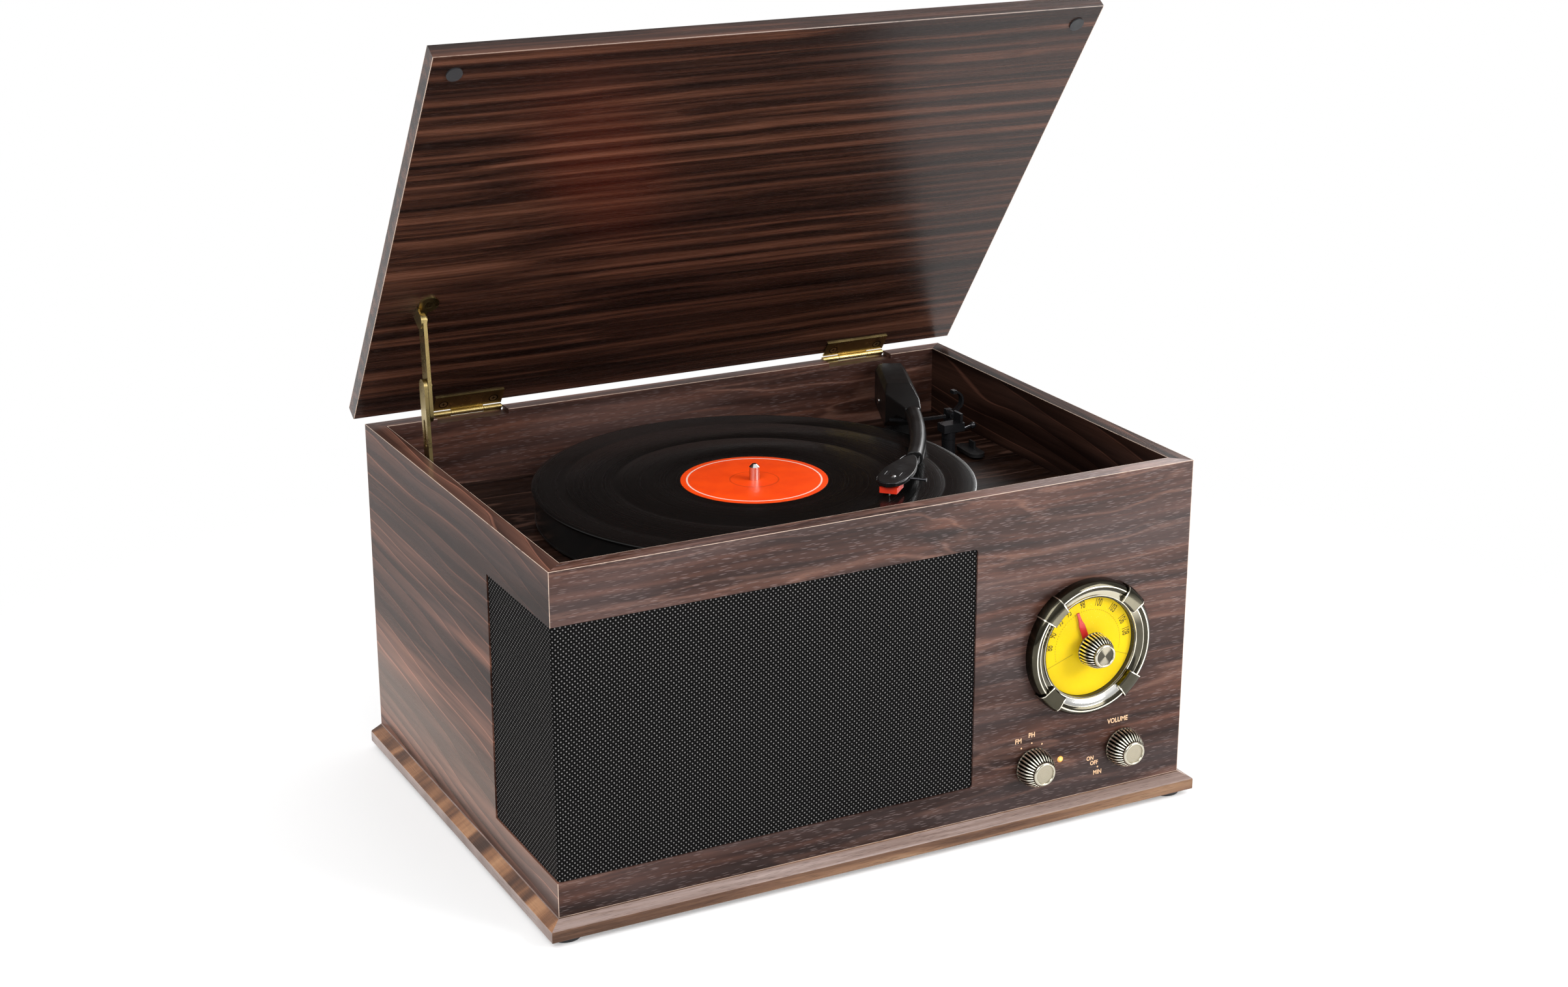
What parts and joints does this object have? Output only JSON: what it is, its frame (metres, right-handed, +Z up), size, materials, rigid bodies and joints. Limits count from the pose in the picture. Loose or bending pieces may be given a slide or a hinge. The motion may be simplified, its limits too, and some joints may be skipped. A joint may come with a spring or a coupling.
{
  "type": "stereo music centre",
  "caption": "Retro wooden stereo music centre: record player under a hinged lid with a folding stay, round radio dial, knobs and a wrap-around grille.",
  "frame": {"origin": "centre of the overall box with the lid open, on the floor under the feet", "axes": "+X to the object's right seen from the front, +Y to its back, +Z up"},
  "size_m": [0.476, 0.3616, 0.5275],
  "materials": {
    "cabinet_wood": "satin, worn pale at the edges",
    "deck_wood": "satin",
    "lid_wood": "satin",
    "plinth_wood": "satin",
    "raw_board": "unfinished",
    "black_rubber": "matt",
    "grille_plastic": "matt",
    "grille_cloth": "coarse weave",
    "speaker_steel": "black",
    "speaker_paper": "paper cone",
    "antique_brass": "aged",
    "platter_gloss": "gloss",
    "felt": "felt",
    "vinyl": "grooved gloss",
    "label_paper": "printed paper",
    "bright_steel": "polished",
    "pulley_brass": "turned",
    "arm_plastic": "satin",
    "dark_steel": "darkened",
    "red_plastic": "satin",
    "antique_chrome": "antique",
    "champagne_chrome": "antique",
    "dial_yellow": "matt",
    "clear_lens": "clear",
    "amber": "translucent",
    "tuner_metal": "plated",
    "circuit_board": "lacquered",
    "black_plastic": "moulded"
  },
  "bodies": {
    "root": {"front_panel": "cabinet_wood", "left_panel": "cabinet_wood", "right_panel": "cabinet_wood", "back_panel": "cabinet_wood", "bottom_board": "raw_board", "plinth": "plinth_wood", "rubber_feet": "black_rubber", "inner_framing": "raw_board", "deck_board": "deck_wood", "speaker_baffle": "raw_board", "grille_frame": "grille_plastic", "grille_cloth": "grille_cloth", "speaker_drivers": "speaker_steel", "speaker_cones": "speaker_paper", "hinge_cabinet_leaves": "antique_brass", "cabinet_screws": "antique_brass", "stay_wall_bracket": "antique_brass", "bearing_housing": "bright_steel", "motor": "bright_steel", "drive_belt": "black_rubber", "tonearm_base": "arm_plastic", "arm_rest": "dark_steel", "dial_bezel": "antique_chrome", "dial_face": "dial_yellow", "dial_lens": "clear_lens", "tuner_unit": "tuner_metal", "control_board": "circuit_board", "lamp": "amber", "amplifier_board": "circuit_board", "rear_plate": "black_plastic", "rca_sockets": "bright_steel", "power_inlet": "black_plastic", "mains_transformer": "tuner_metal"},
    "lid": {"lid_board": "lid_wood", "lid_bumpers": "black_rubber", "hinge_lid_leaves": "antique_brass", "lid_screws": "antique_brass", "stay_lid_bracket": "antique_brass"},
    "stay_upper": {"stay_upper_link": "antique_brass"},
    "stay_lower": {"stay_lower_link": "antique_brass"},
    "turntable": {"platter": "platter_gloss", "slip_mat": "felt", "record": "vinyl", "record_label": "label_paper", "spindle": "bright_steel"},
    "motor_shaft": {"motor_pulley": "pulley_brass"},
    "arm_swivel": {"tonearm_yoke": "dark_steel"},
    "arm": {"tonearm": "arm_plastic", "headshell": "arm_plastic", "cartridge": "red_plastic", "stylus": "bright_steel", "finger_lift": "dark_steel"},
    "clip": {"arm_clip": "dark_steel"},
    "cue": {"cue_lever": "dark_steel"},
    "lifter": {"cue_lift": "dark_steel"},
    "speed": {"speed_lever": "arm_plastic"},
    "tuning": {"tuning_knob": "antique_chrome", "dial_pointer": "red_plastic"},
    "selector": {"selector_knob": "champagne_chrome"},
    "volume": {"volume_knob": "champagne_chrome"}
  },
  "joints": [
    {"name": "lid_hinge", "type": "hinge", "parent": "root", "child": "lid", "pos_m": [0, 0.17338, 0.2402], "axis": [1, 0, 0], "range_deg": [0, 55]},
    {"name": "stay_upper_pivot", "type": "hinge", "parent": "lid", "child": "stay_upper", "pos_m": [-0.208, 0.10565, 0.32804], "axis": [1, 0, 0], "range_deg": [-114.66, 1]},
    {"name": "stay_lower_pivot", "type": "hinge", "parent": "root", "child": "stay_lower", "pos_m": [-0.2107, 0.09578, 0.211], "axis": [1, 0, 0], "range_deg": [-1, 92.47]},
    {"name": "platter_spin", "type": "hinge", "parent": "root", "child": "turntable", "pos_m": [-0.013, 0.00578, 0.191], "axis": [0, 0, 1], "continuous": true},
    {"name": "motor_spin", "type": "hinge", "parent": "root", "child": "motor_shaft", "pos_m": [-0.09614, 0.05378, 0.191], "axis": [0, 0, 1], "continuous": true},
    {"name": "arm_swing", "type": "hinge", "parent": "root", "child": "arm_swivel", "pos_m": [0.168, 0.12278, 0.191], "axis": [0, 0, 1], "range_deg": [-10.5, 19.5]},
    {"name": "arm_lift", "type": "hinge", "parent": "arm_swivel", "child": "arm", "pos_m": [0.168, 0.12278, 0.2166], "axis": [-0.9225, 0.3859, 0], "range_deg": [0, 1.85]},
    {"name": "cue_lever_turn", "type": "hinge", "parent": "root", "child": "cue", "pos_m": [0.16531, 0.04782, 0.208], "axis": [0, 0, -1], "range_deg": [0, 40]},
    {"name": "cue_lift_slide", "type": "slide", "parent": "root", "child": "lifter", "axis": [0, 0, 1], "range_m": [0, 0.00181]},
    {"name": "arm_clip_turn", "type": "hinge", "parent": "root", "child": "clip", "pos_m": [0.182, 0.07178, 0.2175], "axis": [0, -1, 0], "range_deg": [0, 25]},
    {"name": "speed_lever_turn", "type": "hinge", "parent": "root", "child": "speed", "pos_m": [0.188, 0.06178, 0.193], "axis": [0, 0, 1], "range_deg": [-12, 12]},
    {"name": "tuning_turn", "type": "hinge", "parent": "root", "child": "tuning", "pos_m": [0.15, -0.15722, 0.1244], "axis": [0, -1, 0], "range_deg": [-115, 75]},
    {"name": "selector_turn", "type": "hinge", "parent": "root", "child": "selector", "pos_m": [0.1109, -0.15722, 0.0451], "axis": [0, -1, 0], "range_deg": [-30, 30]},
    {"name": "volume_turn", "type": "hinge", "parent": "root", "child": "volume", "pos_m": [0.1821, -0.15722, 0.0451], "axis": [0, -1, 0], "range_deg": [-210, 60]}
  ],
  "couplings": [
    {"joint": "stay_upper_pivot", "follows": "lid_hinge", "ratio": -2.0665},
    {"joint": "stay_lower_pivot", "follows": "lid_hinge", "ratio": 1.663},
    {"joint": "motor_spin", "follows": "platter_spin", "ratio": 12},
    {"joint": "arm_lift", "follows": "cue_lever_turn", "ratio": 0.045},
    {"joint": "cue_lift_slide", "follows": "cue_lever_turn", "m_per_rad": 0.0025196}
  ]
}
